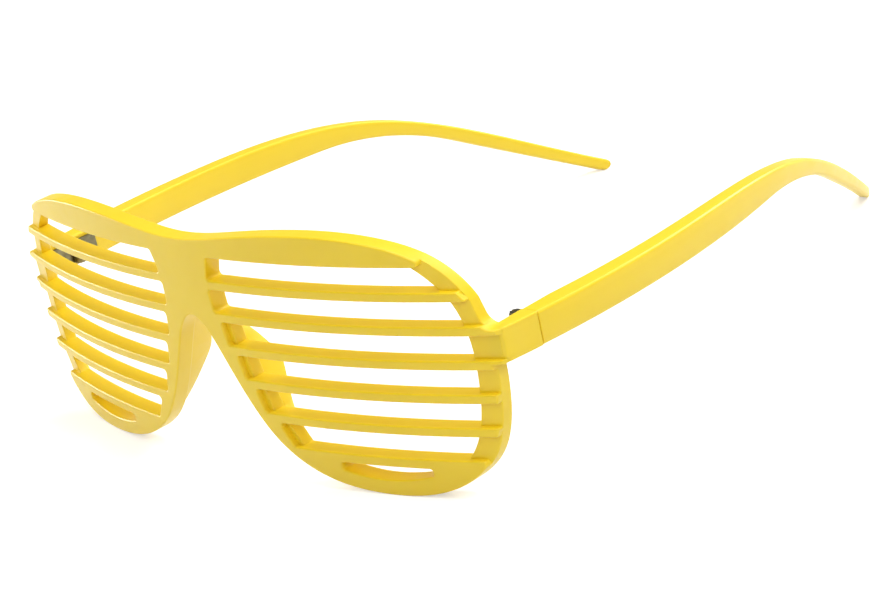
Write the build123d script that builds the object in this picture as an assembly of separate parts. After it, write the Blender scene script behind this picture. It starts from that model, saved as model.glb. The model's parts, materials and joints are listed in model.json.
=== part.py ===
from build123d import *
from math import atan2, cos, radians, sin, sqrt, tan
import os

# Slatted novelty glasses, in millimetres.
# X runs to the wearer's left, Y from the front towards the ears and Z up.
# The glasses stand as they do on a table: on both lens bottoms and on both temple tips.
# While the pieces are built, Y is zero at the front of the bridge and Z is zero at the lens bottoms.

# Front moulding
half_width = 68.7
front_height = 52.2
wrap_radius = 200.0
front_depth = 4.0
recess_depth = 1.3
front_edge_bevel = 0.4
back_edge_bevel = 0.6

# Place on the outline where the sweep down to the endpiece starts
valley_top_shares = (0.962, 0.755)

# Outline of the wearer's left half, from the top of the bridge round the lens to the nose arch,
# as shares of the half width and of the front height
outline_shares = (
    (0.0, 0.952),
    (0.233, 0.979),
    (0.495, 1.0),
    (0.713, 0.973),
    (0.873, 0.891),
    valley_top_shares,
    (0.997, 0.575),
    (0.994, 0.383),
    (0.978, 0.268),
    (0.936, 0.148),
    (0.815, 0.034),
    (0.597, 0.0),
    (0.400, 0.046),
    (0.250, 0.165),
    (0.163, 0.322),
    (0.086, 0.521),
    (0.050, 0.600),
    (0.0, 0.642),
)

# Outer side of the see-through opening, beside the sweep and beside the endpiece
opening_valley_shares = (0.929, 0.670)
opening_endpiece_shares = (0.940, 0.556)

# Outer side of the see-through opening, on the rim that stands behind the slats
opening_shares = (
    (0.760, 0.920),
    (0.847, 0.843),
    (0.902, 0.759),
    opening_valley_shares,
    opening_endpiece_shares,
    (0.936, 0.431),
    (0.920, 0.297),
    (0.886, 0.188),
    (0.837, 0.115),
)

# Slots and slats of each lens, between the brow and the bottom plate
slot_count = 6
brow_height = 5.85
slat_height = 1.87
bottom_plate_height = 7.9
slot_corner_round = 0.7
ledge_width = 1.2
first_ledge_slot = 3

# Nose end of each slot, at its top and at its bottom, as shares of the half width
slot_nose_shares = (
    (0.125, 0.104),
    (0.103, 0.106),
    (0.123, 0.133),
    (0.156, 0.171),
    (0.200, 0.220),
    (0.262, 0.303),
)

# Short slot in the bottom plate, with its two ends as shares of the half width
short_slot_shares = (0.463, 0.761)
short_slot_web = 2.0
short_slot_end_height = 1.5
short_slot_sag = 1.3
short_slot_round = 0.5

# Fins that rest on the nose, tapering from their root on the front to their rear edge
fin_root_thickness = 3.6
fin_rear_thickness = 1.6
fin_rear_inset = 1.1
fin_reach = 6.2
fin_taper_overrun = 0.5
fin_top_share = 0.634
fin_bottom_share = 0.130

# Places along the outline that a fin follows, as shares of the outline's length
fin_path_shares = (0.800, 0.845, 0.890, 0.935, 0.985)

# Rear edge of a fin from its top to its bottom, as shares of its height and of its reach
fin_shares = (
    (0.0, 0.0),
    (0.07, 0.30),
    (0.16, 0.57),
    (0.30, 0.86),
    (0.42, 1.0),
    (0.55, 0.82),
    (0.74, 0.44),
    (0.90, 0.14),
    (1.0, 0.0),
)

# Endpieces and the seam between front and temple
endpiece_bottom_share = 0.521
endpiece_height = 6.8
endpiece_overhang = 5.0
endpiece_corner_round = 0.9
endpiece_edge_bevel = 0.4
valley_foot_inset = 1.1
valley_round = 3.2
seam_gap = 0.15

# Temples, with their bow seen from above and their ear bend seen from the side
temple_root_thickness = 5.7
temple_bow_radius = 211.0
temple_bow_distance = 48.0
temple_seat_length = 7.4
temple_middle_distance = 92.0
temple_middle_thickness = 4.0
temple_tip_thickness = 3.2
temple_straight_end = 95.0
temple_bend_radius = 66.0
temple_bend_angle = 30.0
temple_taper_start = 60.0
temple_bend_height = 3.8
temple_tip_height = 2.8
temple_edge_bevel = 0.45

# Metal hinges
leaf_thickness = 0.8
leaf_length = 5.7
leaf_setback = 1.0
hinge_height = 4.6
knuckle_radius = 1.3
knuckle_overlap = 0.5
outer_knuckle_height = 1.3
knuckle_gap = 0.05
notch_gap = 0.1
pivot_radius = 0.7
pivot_clearance = 0.05
pivot_head_radius = 1.1
pivot_head_height = 0.4
drive_slot_width = 0.3
drive_slot_depth = 0.2

# Barbed foot of each leaf, pressed into a pocket in the plastic
foot_inset = 1.9
foot_height = 3.4
foot_depth = 1.9
foot_neck_width = 1.0
foot_barb_width = 1.7
foot_barb_start = 0.5
foot_clearance = 0.03

# Cutting bodies run past what they cut by this much
overrun = 6.0

# A fillet takes at most this share of the room that its neighbours leave
round_limit_share = 0.98

# Edges this near to a surface, as a share of the front's depth, count as lying on it
edge_match_share = 0.003

# Height of each slot
slot_height = (front_height - brow_height - bottom_plate_height + slat_height) / slot_count - slat_height

# Widest place of the temples, the face that the hinge leaves lie on, and the underside of the endpieces
temple_spread = half_width + endpiece_overhang
hinge_seat_x = temple_spread - temple_root_thickness
endpiece_bottom = front_height * endpiece_bottom_share

# Hinge axis and the heights of its knuckles
hinge_x = hinge_seat_x - leaf_thickness - knuckle_radius + knuckle_overlap
hinge_bottom = endpiece_bottom + (endpiece_height - hinge_height) / 2
hinge_top = hinge_bottom + hinge_height
middle_knuckle_bottom = hinge_bottom + outer_knuckle_height + knuckle_gap
middle_knuckle_top = hinge_top - outer_knuckle_height - knuckle_gap


def wrap(x):
    """Distance of the front surface behind the bridge at a place x."""
    return wrap_radius - sqrt(wrap_radius**2 - x**2)


# Seam between front and temple, which leaves room for the front leaf behind the front
seam_distance = wrap(hinge_seat_x) + front_depth + leaf_length + leaf_setback


def bow(y):
    """Place x of a temple's outer face at a distance y."""
    return temple_spread - temple_bow_radius + sqrt(temple_bow_radius**2 - (y - temple_bow_distance) ** 2)


def front_point(shares):
    """Place X and height of a point given as shares."""
    return (shares[0] * half_width, shares[1] * front_height)


def front_prism(profile, start, end):
    """A profile drawn in X and Z, pulled from one distance Y to another."""
    return extrude(Plane.XZ.offset(-start) * profile, amount=start - end)


def plan_prism(profile, bottom, top):
    """A profile drawn in X and Y, pulled from one height to another."""
    return extrude(Plane.XY.offset(bottom) * profile, amount=top - bottom)


def side_prism(profile, start, end):
    """A profile drawn in Y and Z, pulled from one place X to another."""
    return extrude(Plane.YZ.offset(start) * profile, amount=end - start)


def wrap_band(start, end):
    """The space between the front surface moved back by two distances."""
    reach = temple_spread + overrun
    front_arc = ThreePointArc((-reach, wrap(reach) + start), (0, start), (reach, wrap(reach) + start))
    back_arc = ThreePointArc((reach, wrap(reach) + end), (0, end), (-reach, wrap(reach) + end))
    sides = Line(front_arc @ 1, back_arc @ 0) + Line(back_arc @ 1, front_arc @ 0)
    return plan_prism(make_face(front_arc + back_arc + sides), -overrun, front_height + overrun)


def mirrored(pieces):
    """The same pieces on the wearer's right."""
    return [mirror(piece, about=Plane.YZ) for piece in pieces]


def outline_path():
    """The outline of the wearer's left half as one edge."""
    return Spline(*[front_point(shares) for shares in outline_shares], tangents=((1, 0), (-1, 0)))


def outline_face():
    """The front's outline without its slots, endpieces and fins."""
    return make_face(outline_path() + mirror(outline_path(), about=Plane.YZ))


def slot_face(number, ledge):
    """One long slot, from its nose end to past the outer wall."""
    top = front_height - brow_height - (number - 1) * (slot_height + slat_height)
    bottom = top - slot_height
    top_share, bottom_share = slot_nose_shares[number - 1]
    far = temple_spread + overrun
    nose_top = (top_share * half_width + ledge, top)
    nose_bottom = (bottom_share * half_width + ledge, bottom)
    return make_face(Polyline(nose_top, (far, top), (far, bottom), nose_bottom, close=True))


def rounded_slot(number):
    """One long slot with the round corners of its nose end."""
    face = slot_face(number, 0)
    return fillet(face.vertices().sort_by(Axis.X)[:2], slot_corner_round)


def opening_face():
    """The see-through opening inside the rim, cut off square towards the nose."""
    outer = Spline(*[front_point(shares) for shares in opening_shares])
    top = outer @ 0
    bottom = outer @ 1
    rest = Polyline(bottom, (0, bottom.Y), (0, top.Y), top)
    return make_face(outer + rest)


def short_slot_face():
    """The short slot in the bottom plate, with its lower side bowed down."""
    left, right = [share * half_width for share in short_slot_shares]
    top = bottom_plate_height - short_slot_web
    end_bottom = top - short_slot_end_height
    box = Polyline((left, end_bottom), (left, top), (right, top), (right, end_bottom))
    middle = ((left + right) / 2, end_bottom - short_slot_sag)
    face = make_face(box + ThreePointArc((right, end_bottom), middle, (left, end_bottom)))
    return fillet(face.vertices(), short_slot_round)


def lies_on_wrap(edge, shift):
    """Whether an edge runs along the front surface moved back by a distance."""
    places = [edge @ 0, edge @ 0.5, edge @ 1]
    return all(abs(p.Y - wrap(p.X) - shift) < front_depth * edge_match_share for p in places)


def front_plate():
    """The wrapped plate with its bevelled edges, before its slots are cut."""
    deep = wrap(half_width) + front_depth + overrun
    plate = front_prism(outline_face(), -overrun, deep) & wrap_band(0, front_depth)
    front_edges = plate.edges().filter_by(lambda edge: lies_on_wrap(edge, 0))
    plate = chamfer(front_edges, front_edge_bevel)
    back_edges = plate.edges().filter_by(lambda edge: lies_on_wrap(edge, front_depth))
    return chamfer(back_edges, back_edge_bevel)


def endpiece():
    """The arm at the outer edge of the front that carries the hinge, on the wearer's left."""
    seam = seam_distance - seam_gap / 2
    middle = (wrap(half_width) + seam) / 2
    inner_x = opening_endpiece_shares[0] * half_width
    outer = ThreePointArc((bow(0), 0), (bow(middle), middle), (bow(seam), seam))
    seat_start = (hinge_seat_x, wrap(hinge_seat_x) + front_depth + back_edge_bevel)
    web_start = (inner_x, wrap(inner_x) + front_depth)
    inner = Polyline(outer @ 1, (hinge_seat_x, seam), seat_start, web_start, (inner_x, 0), outer @ 0)
    arm = plan_prism(make_face(outer + inner), endpiece_bottom, endpiece_bottom + endpiece_height)
    arm = arm & wrap_band(0, seam_distance + overrun)
    front_corner = arm.edges().filter_by(Axis.Z).sort_by(Axis.X)[-2:].sort_by(Axis.Y)[0]
    arm = fillet(front_corner, endpiece_corner_round)
    long_edges = [edge for edge in arm.edges() if follows_bow(edge)]
    return chamfer(long_edges, endpiece_edge_bevel)


def follows_bow(edge):
    """Whether an edge runs along the outer face of a temple or an endpiece."""
    places = [edge @ 0, edge @ 0.5, edge @ 1]
    along = abs((edge @ 1).Y - (edge @ 0).Y) > temple_tip_thickness
    return along and all(abs(p.X - bow(p.Y)) < front_depth * edge_match_share for p in places)


def valley():
    """The hollow sweep from the brow down to the top of the endpiece."""
    top = endpiece_bottom + endpiece_height
    wall_top = front_point(valley_top_shares)
    inner_x = opening_valley_shares[0] * half_width
    outer_x = bow(wrap(half_width)) - endpiece_edge_bevel
    foot = (half_width - valley_foot_inset, top)
    slope = atan2(wall_top[1] - top, foot[0] - wall_top[0])
    widest_round = round_limit_share * (outer_x - foot[0]) / tan(slope / 2)
    bottom_corners = [(inner_x, endpiece_bottom), (outer_x, endpiece_bottom)]
    corners = [wall_top, (inner_x, wall_top[1]), *bottom_corners, (outer_x, top), foot]
    face = make_face(Polyline(*corners, close=True))
    foot_corner = face.vertices().sort_by_distance(foot)[0]
    face = fillet(foot_corner, min(valley_round, widest_round))
    far_back = wrap(temple_spread) + front_depth + overrun
    return front_prism(face, -overrun, far_back) & wrap_band(0, front_depth)


def fin_section(inset, thickness):
    """A fin's section parallel to the front, following the nose edge."""
    path = outline_path()
    nose_side = []
    lens_side = []
    for share in fin_path_shares:
        place = path @ share
        heading = path % share
        inwards = Vector(heading.Y, -heading.X)
        nose_side.append(place + inwards * inset)
        lens_side.append(place + inwards * (inset + thickness))
    near = Spline(*nose_side)
    far = Spline(*lens_side)
    return make_face(near + far + Line(near @ 0, far @ 0) + Line(near @ 1, far @ 1))


def nose_fin():
    """The fin behind the nose edge of the wearer's left lens."""
    depth = front_depth + fin_reach
    root = Plane.XZ.offset(-recess_depth) * fin_section(0, fin_root_thickness)
    rear = Plane.XZ.offset(-depth - fin_taper_overrun) * fin_section(fin_rear_inset, fin_rear_thickness)
    wedge = loft([root.face(), rear.face()], ruled=True)
    top = fin_top_share * front_height
    height = top - fin_bottom_share * front_height
    root_depth = front_depth - back_edge_bevel
    reach = depth - root_depth
    edge = Spline(*[(root_depth + reach * out, top - height * down) for down, out in fin_shares])
    side = make_face(edge + Polyline(edge @ 1, (0, (edge @ 1).Y), (0, top), edge @ 0))
    return wedge & side_prism(side, 0, half_width)


def slot_cuts():
    """What the slots of one lens remove: a recess over the whole slot and a deeper cut inside the rim."""
    far_back = wrap(temple_spread) + front_depth + overrun
    recess_band = wrap_band(-overrun, recess_depth)
    cuts = [front_prism(short_slot_face(), -overrun, far_back)]
    for number in range(1, slot_count + 1):
        recess = rounded_slot(number)
        through = slot_face(number, ledge_width) if number >= first_ledge_slot else recess
        cuts.append(front_prism(recess, -overrun, far_back) & recess_band)
        cuts.append(front_prism(through & opening_face(), -overrun, far_back))
    return cuts


def front_frame():
    """The whole front, with its slots, rims, fins and endpieces."""
    additions = [endpiece(), valley(), nose_fin()]
    cuts = slot_cuts() + [foot_pocket(-1)]
    frame = front_plate() + (additions + mirrored(additions))
    return frame - (cuts + mirrored(cuts))


def temple_slope():
    """End of the ear bend, as distance and height, and the length of the slope from there to the table."""
    angle = radians(temple_bend_angle)
    distance = temple_straight_end + temple_bend_radius * sin(angle)
    height = endpiece_bottom - temple_bend_radius * (1 - cos(angle))
    tip_round = temple_tip_height / 2
    table = outline_face().bounding_box().min.Z
    length = (height + tip_round * cos(angle) - tip_round - table) / sin(angle)
    return Vector(distance, height), length


def temple_plan():
    """A temple seen from above, with square ends."""
    bend_end, length = temple_slope()
    start = seam_distance + seam_gap / 2
    end = bend_end.X + length + temple_tip_height
    middle = temple_middle_distance
    seat_end = seam_distance + temple_seat_length
    outer = ThreePointArc((bow(start), start), (bow(middle), middle), (bow(end), end))
    inner_end = (bow(end) - temple_tip_thickness, end)
    inner_middle = (bow(middle) - temple_middle_thickness, middle)
    inner = ThreePointArc(inner_end, inner_middle, (hinge_seat_x, seat_end))
    seat = Polyline(inner @ 1, (hinge_seat_x, start), outer @ 0)
    return make_face(outer + Line(outer @ 1, inner @ 0) + inner + seat)


def temple_side():
    """A temple seen from the side, with its ear bend and its round tip on the table."""
    angle = radians(temple_bend_angle)
    bend_end, length = temple_slope()
    bend_half = Vector(sin(angle / 2), cos(angle / 2))
    bend_centre = Vector(temple_straight_end, endpiece_bottom - temple_bend_radius)
    bend_start = (temple_straight_end, endpiece_bottom)
    bend_middle = bend_centre + bend_half * temple_bend_radius
    down = Vector(cos(angle), -sin(angle))
    up = Vector(sin(angle), cos(angle))
    tip_round = temple_tip_height / 2
    tip_bottom = bend_end + down * length
    tip_end = tip_bottom + up * tip_round + down * tip_round
    tip_top = tip_bottom + up * temple_tip_height
    top = endpiece_bottom + endpiece_height
    start = seam_distance + seam_gap / 2
    taper_start = (temple_taper_start, top)
    bend_top = bend_centre + bend_half * (temple_bend_radius + temple_bend_height)
    bend_bottom = ThreePointArc(bend_start, bend_middle, bend_end)
    lower_edge = Line((start, endpiece_bottom), bend_start) + bend_bottom
    slope_and_tip = Line(bend_end, tip_bottom) + ThreePointArc(tip_bottom, tip_end, tip_top)
    upper_edge = Spline(tip_top, bend_top, taper_start, tangents=(-down, (-1, 0)))
    hinge_end = Polyline(taper_start, (start, top), (start, endpiece_bottom))
    return make_face(lower_edge + slope_and_tip + upper_edge + hinge_end)


def follows_inner_face(edge):
    """Whether an edge runs along a temple on the side towards the head."""
    along = abs((edge @ 1).Y - (edge @ 0).Y) > temple_tip_thickness
    middle = edge @ 0.5
    return along and middle.X < bow(middle.Y) - temple_tip_thickness / 2


def temple():
    """The temple on the wearer's left, with its long edges bevelled."""
    seen_from_above = plan_prism(temple_plan(), -overrun, front_height)
    body = seen_from_above & side_prism(temple_side(), 0, temple_spread + overrun)
    long_edges = [edge for edge in body.edges() if follows_bow(edge) or follows_inner_face(edge)]
    return chamfer(long_edges, temple_edge_bevel) - foot_pocket(1)


def foot_place(direction):
    """Distance of a leaf's foot, in front of the seam or behind it."""
    return seam_distance + direction * (leaf_length - foot_inset)


def foot_pocket(direction):
    """The pocket in the plastic that a leaf's foot is pressed into."""
    near = foot_place(direction) - foot_barb_width / 2 - foot_clearance
    far = foot_place(direction) + foot_barb_width / 2 + foot_clearance
    inner_x = hinge_seat_x - leaf_thickness
    outer_x = hinge_seat_x + foot_depth + foot_clearance
    profile = Polyline((inner_x, near), (outer_x, near), (outer_x, far), (inner_x, far), close=True)
    middle = endpiece_bottom + endpiece_height / 2
    rise = foot_height / 2 + foot_clearance
    return plan_prism(make_face(profile), middle - rise, middle + rise)


def hinge_foot(direction):
    """The barbed foot of a leaf."""
    place = foot_place(direction)
    middle = endpiece_bottom + endpiece_height / 2
    neck = foot_neck_width / 2
    barb = foot_barb_width / 2
    shoulder = hinge_seat_x + foot_barb_start
    end = hinge_seat_x + foot_depth
    half = [(hinge_seat_x, neck), (shoulder, neck), (shoulder, barb), (end, neck)]
    near = [(x, place - side) for x, side in half]
    far = [(x, place + side) for x, side in reversed(half)]
    profile = make_face(Polyline(*near, *far, close=True))
    return plan_prism(profile, middle - foot_height / 2, middle + foot_height / 2)


def upright(radius, bottom, top):
    """A rod along the hinge axis."""
    return plan_prism(Pos(hinge_x, seam_distance) * Circle(radius), bottom, top)


def hinge_plate(direction):
    """The flat part of a leaf with its foot, in front of the seam or behind it."""
    near = seam_distance + direction * seam_gap / 2
    far = seam_distance + direction * leaf_length
    inner_x = hinge_seat_x - leaf_thickness
    corners = [(inner_x, near), (hinge_seat_x, near), (hinge_seat_x, far), (inner_x, far)]
    plate = plan_prism(make_face(Polyline(*corners, close=True)), hinge_bottom, hinge_top)
    return plate + hinge_foot(direction)


def front_leaf():
    """The hinge leaf on the endpiece, with a knuckle at its top and one at its bottom."""
    notch_bottom = middle_knuckle_bottom - knuckle_gap
    notch_top = middle_knuckle_top + knuckle_gap
    leaf = hinge_plate(-1) - upright(knuckle_radius + notch_gap, notch_bottom, notch_top)
    leaf = leaf + upright(knuckle_radius, hinge_bottom, notch_bottom)
    leaf = leaf + upright(knuckle_radius, notch_top, hinge_top)
    return leaf - upright(pivot_radius + pivot_clearance, hinge_bottom, hinge_top)


def temple_leaf():
    """The hinge leaf on the temple, with one knuckle between those of the front leaf."""
    notch_radius = knuckle_radius + notch_gap
    leaf = hinge_plate(1) - upright(notch_radius, hinge_bottom, middle_knuckle_bottom)
    leaf = leaf - upright(notch_radius, middle_knuckle_top, hinge_top)
    leaf = leaf + upright(knuckle_radius, middle_knuckle_bottom, middle_knuckle_top)
    return leaf - upright(pivot_radius + pivot_clearance, hinge_bottom, hinge_top)


def hinge_screw():
    """The screw that is the hinge's axle, with a drive slot in its head."""
    head_top = hinge_top + pivot_head_height
    screw = upright(pivot_radius, hinge_bottom, hinge_top) + upright(pivot_head_radius, hinge_top, head_top)
    slot = Pos(hinge_x, seam_distance) * Rectangle(overrun, drive_slot_width)
    return screw - plan_prism(slot, head_top - drive_slot_depth, head_top + overrun)


def resting_place(pieces):
    """The shift that puts the middle of the footprint at the origin and the lowest point at zero."""
    boxes = [piece.bounding_box() for piece in pieces]
    front = min(box.min.Y for box in boxes)
    ears = max(box.max.Y for box in boxes)
    table = min(box.min.Z for box in boxes)
    return Pos(0, -(front + ears) / 2, -table)


def all_nodes():
    """Each piece by its name."""
    left = {
        "left_temple": temple(),
        "left_front_hinge_leaf": front_leaf(),
        "left_temple_hinge_leaf": temple_leaf(),
        "left_hinge_screw": hinge_screw(),
    }
    right_names = [name.replace("left", "right", 1) for name in left]
    right = dict(zip(right_names, mirrored(left.values())))
    return {"front_frame": front_frame(), **left, **right}


def main():
    os.makedirs("parts", exist_ok=True)
    nodes = all_nodes()
    shift = resting_place(list(nodes.values()))
    for name, piece in nodes.items():
        export_step((shift * piece).solid(), f"parts/{name}.step")
    hinge_axis = shift * Pos(hinge_x, seam_distance, hinge_bottom)
    print("left hinge axis:", hinge_axis.position)


main()
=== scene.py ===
# %% [markdown]
# # Slatted novelty glasses
#
# The glasses are three yellow plastic mouldings and two small metal hinges. The front is one
# moulding with a brow, a bridge, six slots and five slats for each eye, two fins that rest on
# the nose and two endpieces. A temple folds on each endpiece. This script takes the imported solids
# as its frame, gives every piece the soft edges and the finish of the real one, and lights them
# on a white table. Everything is in metres and in the axes of the solids: +X is the wearer's
# left, +Y runs back to the ears and +Z is up.

# %% Load the frame
import json
import math

import bmesh
import bpy
import numpy as np
from mathutils import Matrix, Vector
from mathutils.geometry import delaunay_2d_cdt


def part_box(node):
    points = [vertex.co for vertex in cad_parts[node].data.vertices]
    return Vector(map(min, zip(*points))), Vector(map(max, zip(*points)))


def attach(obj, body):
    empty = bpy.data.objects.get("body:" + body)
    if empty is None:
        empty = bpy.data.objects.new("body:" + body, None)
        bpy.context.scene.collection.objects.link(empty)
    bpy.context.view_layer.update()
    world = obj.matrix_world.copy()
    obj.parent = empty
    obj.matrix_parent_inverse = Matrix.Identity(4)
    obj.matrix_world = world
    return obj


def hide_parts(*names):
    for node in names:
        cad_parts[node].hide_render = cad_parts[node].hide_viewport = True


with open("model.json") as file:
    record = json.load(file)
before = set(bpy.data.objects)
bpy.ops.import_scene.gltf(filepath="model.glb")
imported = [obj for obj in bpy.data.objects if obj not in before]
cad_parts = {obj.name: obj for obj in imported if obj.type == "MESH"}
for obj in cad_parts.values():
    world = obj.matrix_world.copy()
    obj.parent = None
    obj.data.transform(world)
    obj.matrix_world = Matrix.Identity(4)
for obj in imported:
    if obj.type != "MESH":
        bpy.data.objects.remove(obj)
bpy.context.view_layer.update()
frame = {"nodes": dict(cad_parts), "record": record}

nodes = frame["nodes"]
behaviour = frame["record"]["behaviour"]
mm = 0.001

# %% [markdown]
# ## Camera
#
# The photograph is a close view from the wearer's left, from a little above. Its camera was
# found by matching the slat ends, the outlines and the temples to their places in it. The result
# is a place, three directions and a focal length, and a Blender camera takes exactly those: its
# own X is the picture's right, its Y is up and its Z looks back.

# %% Camera
IMAGE_WIDTH = 888
FOCAL_PIXELS = 2581.2
SENSOR_WIDTH = 36.0
CAMERA_PLACE = Vector((0.38692, -0.35687, 0.20024))
CAMERA_RIGHT = Vector((0.70138723, 0.68408633, -0.20020452))
CAMERA_DOWN = Vector((0.1138441, -0.38478718, -0.91595761))

camera = bpy.data.objects.new("camera", bpy.data.cameras.new("camera"))
bpy.context.scene.collection.objects.link(camera)
camera.data.sensor_width = SENSOR_WIDTH
camera.data.lens = FOCAL_PIXELS / IMAGE_WIDTH * SENSOR_WIDTH
camera_back = CAMERA_RIGHT.cross(-CAMERA_DOWN)
camera_axes = Matrix((CAMERA_RIGHT, -CAMERA_DOWN, camera_back)).transposed()
camera.matrix_world = Matrix.Translation(CAMERA_PLACE) @ camera_axes.to_4x4()
bpy.context.scene.camera = camera
print("camera lens in millimetres:", round(camera.data.lens, 1))

# %% [markdown]
# ## Helpers for node trees
#
# The materials and the slats are built from nodes, and small helpers keep that readable. One
# adds a node and another feeds its inputs, by their label or their place. With the Number class
# a formula is written in plain signs, and every sign adds a Math node. The others start a
# material and add the noises, the tints and the bumps that the finishes share.

# %% Helpers for node trees
def feed(node, inputs):
    """Links each named input to another node's output, or sets it to a plain value."""
    for name, value in inputs.items():
        if isinstance(value, Number):
            value = value.socket
        if isinstance(value, bpy.types.NodeSocket):
            node.id_data.links.new(value, node.inputs[name])
        else:
            node.inputs[name].default_value = value
    return node


def add_node(tree, kind, inputs=None, **settings):
    node = tree.nodes.new(kind)
    for name, value in settings.items():
        setattr(node, name, value)
    return feed(node, inputs or {})


def empty_tree(owner):
    """The cleared node tree of a material or a world."""
    owner.use_nodes = True
    owner.node_tree.nodes.clear()
    return owner.node_tree


class Number:
    """An output of a tree to calculate with."""

    def __init__(self, socket):
        self.socket = socket

    def math(self, operation, *others):
        values = dict(enumerate((self, *others)))
        node = add_node(self.socket.id_data, "ShaderNodeMath", values, operation=operation)
        return Number(node.outputs[0])

    def __add__(self, other):
        return self.math("ADD", other)

    def __sub__(self, other):
        return self.math("SUBTRACT", other)

    def __mul__(self, other):
        return self.math("MULTIPLY", other)

    def __truediv__(self, other):
        return self.math("DIVIDE", other)


# %% Helpers for materials
NOISE_MIDDLE = (0.3, 0.7)


def new_material(name):
    """A material with a Principled shader, its tree and that shader."""
    material = bpy.data.materials.new(name)
    tree = empty_tree(material)
    shader = add_node(tree, "ShaderNodeBsdfPrincipled")
    add_node(tree, "ShaderNodeOutputMaterial", {"Surface": shader.outputs["BSDF"]})
    return material, tree, shader


def stretched_noise(tree, scale, stretch=(1, 1, 1), detail=2):
    """Noise in the object's own coordinates, drawn out along an axis by a small stretch value."""
    coordinates = add_node(tree, "ShaderNodeTexCoord").outputs["Object"]
    mapping = add_node(tree, "ShaderNodeMapping", {"Vector": coordinates, "Scale": stretch})
    inputs = {"Vector": mapping.outputs["Vector"], "Scale": scale, "Detail": detail}
    return add_node(tree, "ShaderNodeTexNoise", inputs).outputs["Fac"]


def spread(tree, value, low, high):
    """Maps the middle of a noise's range to a span of its own."""
    inputs = dict(enumerate((value, *NOISE_MIDDLE, low, high)))
    return add_node(tree, "ShaderNodeMapRange", inputs).outputs["Result"]


def two_tints(tree, value, low, high):
    """A colour ramp between two tints over the middle of a noise's range."""
    ramp = add_node(tree, "ShaderNodeValToRGB", {"Fac": value})
    ends = ramp.color_ramp.elements
    ends[0].position, ends[1].position = NOISE_MIDDLE
    ends[0].color, ends[1].color = low, high
    return ramp.outputs["Color"]


def bumps(tree, shader, layers):
    """Stacks bump nodes on the shader, each with a height and the real depth of its marks."""
    below = {}
    for height, depth in layers:
        bump = add_node(tree, "ShaderNodeBump", {"Height": height, "Distance": depth, **below})
        below = {"Normal": bump.outputs["Normal"]}
    feed(shader, below)


print("node and material helpers are ready")

# %% [markdown]
# ## Yellow plastic
#
# The real plastic is coloured right through and comes out of a polished mould, so it is satin:
# bright where it faces the light and creamy where it is seen at a low angle. A single colour
# would look like paint on a screen. Here soft clouds shift the tint a little, as the pigment
# does in a moulding, finer ones vary the roughness, and two bumps give the skin a fine grain and
# the slight waviness of a cooled plate. Light goes in a short way and comes out warmer, and a
# thin coat gives the pale shine at low angles. The temples' clouds are drawn out along them,
# because the plastic flowed that way.

# %% Yellow plastic
PLASTIC_TINTS = ((0.905, 0.645, 0.008, 1), (0.94, 0.68, 0.014, 1))


def yellow_plastic(name, flow):
    material, tree, shader = new_material(name)
    cloud = stretched_noise(tree, scale=45, stretch=flow, detail=3)
    skin = stretched_noise(tree, scale=420, stretch=flow, detail=3)
    grain = stretched_noise(tree, scale=3600)
    feed(shader, {
        "Base Color": two_tints(tree, cloud, *PLASTIC_TINTS),
        "Roughness": spread(tree, skin, low=0.35, high=0.45), "IOR": 1.5,
        "Coat Weight": 0.25, "Coat Roughness": 0.32, "Coat IOR": 1.5,
        "Subsurface Weight": 0.12, "Subsurface Radius": (1.0, 0.6, 0.1),
        "Subsurface Scale": 1.0 * mm,
    })
    bumps(tree, shader, [(cloud, 0.04 * mm), (grain, 0.004 * mm)])
    return material


frame_plastic = yellow_plastic("frame_plastic_moulded", (1, 1, 1))
temple_plastic = yellow_plastic("temple_plastic_moulded", (1, 0.25, 1))
print("plastics:", frame_plastic.name, temple_plastic.name)

# %% [markdown]
# ## Hinge metal
#
# The leaves are stamped from nickel-plated sheet that has gone dull. Their base colour is a dark
# olive, and the olive is a painted reflection of the yellow plastic round them. Fine scratches run
# along the strip it was cut from, so one noise is drawn out far along Y and sets both the roughness
# and a shallow bump. A slow noise darkens tarnished patches. The screws are turned: their marks
# are rings round their own axis. Both share one material, because it reads the distance from the
# mirror plane without its sign.

# %% Hinge metal
RING_GAP = 0.12 * mm


def plated_metal(name, tarnish_scale, tints_with_painted_reflection):
    """A metal with darker patches, whose noise is returned too."""
    material, tree, shader = new_material(name)
    tarnish = stretched_noise(tree, tarnish_scale, detail=3)
    # The two tints are dark olive; their olive is a painted reflection of the yellow plastic.
    feed(shader, {"Base Color": two_tints(tree, tarnish, *tints_with_painted_reflection), "Metallic": 1})
    return material, tree, shader, tarnish


def stamped_metal(name):
    # Dark olive base colours of the leaves: the olive is a painted reflection of the yellow
    # plastic.
    tints_with_painted_reflection = ((0.15, 0.13, 0.07, 1), (0.29, 0.26, 0.15, 1))
    material, tree, shader, _ = plated_metal(name, tarnish_scale=500, tints_with_painted_reflection=tints_with_painted_reflection)
    scratches = stretched_noise(tree, scale=6000, stretch=(1, 0.04, 1), detail=3)
    feed(shader, {"Roughness": spread(tree, scratches, low=0.3, high=0.5)})
    bumps(tree, shader, [(scratches, 0.004 * mm)])
    return material


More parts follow.
